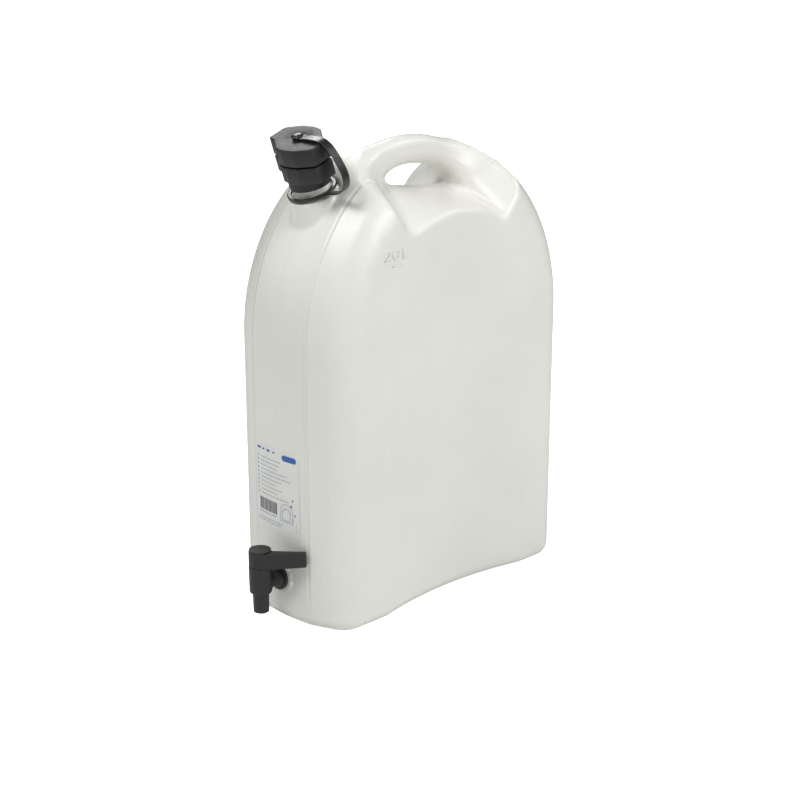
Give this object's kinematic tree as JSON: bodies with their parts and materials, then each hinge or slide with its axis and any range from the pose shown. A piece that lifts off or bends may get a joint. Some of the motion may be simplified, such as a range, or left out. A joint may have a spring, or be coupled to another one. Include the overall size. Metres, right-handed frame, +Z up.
{
  "type": "water canister with tap",
  "caption": "Tall blow-moulded water canister with a carrying handle, a leaning neck with a two-part screw closure on a tether, and a lever-turned drain tap.",
  "frame": {"origin": "middle of the base on the ground", "axes": "+Z up, -Y towards the narrow front face with the tap and the neck, +X towards the right-hand wide side seen from the front"},
  "size_m": [0.1676, 0.402, 0.5152],
  "materials": {
    "natural_plastic": "translucent natural polyethylene, satin",
    "black_plastic": "black moulded plastic, fine grain",
    "soft_black": "soft black elastomer",
    "grey_plastic": "grey moulded plastic",
    "printed_film": "clear printed film"
  },
  "bodies": {
    "can": {"can_shell": "natural_plastic", "front_label": "printed_film", "tether_strap": "black_plastic", "tap_housing": "black_plastic", "tap_gasket": "soft_black", "tap_lock_nut": "black_plastic"},
    "spout": {"pour_insert": "grey_plastic", "neck_gasket": "soft_black"},
    "nut": {"union_nut": "black_plastic"},
    "button": {"tether_rivet": "black_plastic"},
    "cap": {"screw_cap": "black_plastic", "cap_gasket": "soft_black"},
    "lever": {"tap_lever": "black_plastic", "lever_cap": "black_plastic", "tap_plug": "grey_plastic", "plug_o_rings": "soft_black"}
  },
  "joints": [
    {"name": "nut_lift", "type": "slide", "parent": "can", "child": "spout", "axis": [0, -0.309, 0.9511], "range_m": [0, 0.0155], "deforming": ["tether_strap"]},
    {"name": "nut_turn", "type": "hinge", "parent": "spout", "child": "nut", "pos_m": [0, -0.1303, 0.4598], "axis": [0, -0.309, 0.9511], "range_deg": [0, 1080]},
    {"name": "cap_lift", "type": "slide", "parent": "spout", "child": "button", "axis": [0, -0.309, 0.9511], "range_m": [0, 0.0155]},
    {"name": "cap_turn", "type": "hinge", "parent": "button", "child": "cap", "pos_m": [0, -0.1303, 0.4598], "axis": [0, -0.309, 0.9511], "range_deg": [0, 1080]},
    {"name": "tap_turn", "type": "hinge", "parent": "can", "child": "lever", "pos_m": [0, -0.208, 0.0686], "axis": [0, 0, 1], "range_deg": [-122, 0]}
  ],
  "couplings": [
    {"joint": "nut_lift", "follows": "nut_turn", "m_per_rad": 0.00079577},
    {"joint": "cap_lift", "follows": "cap_turn", "m_per_rad": 0.00079577}
  ]
}
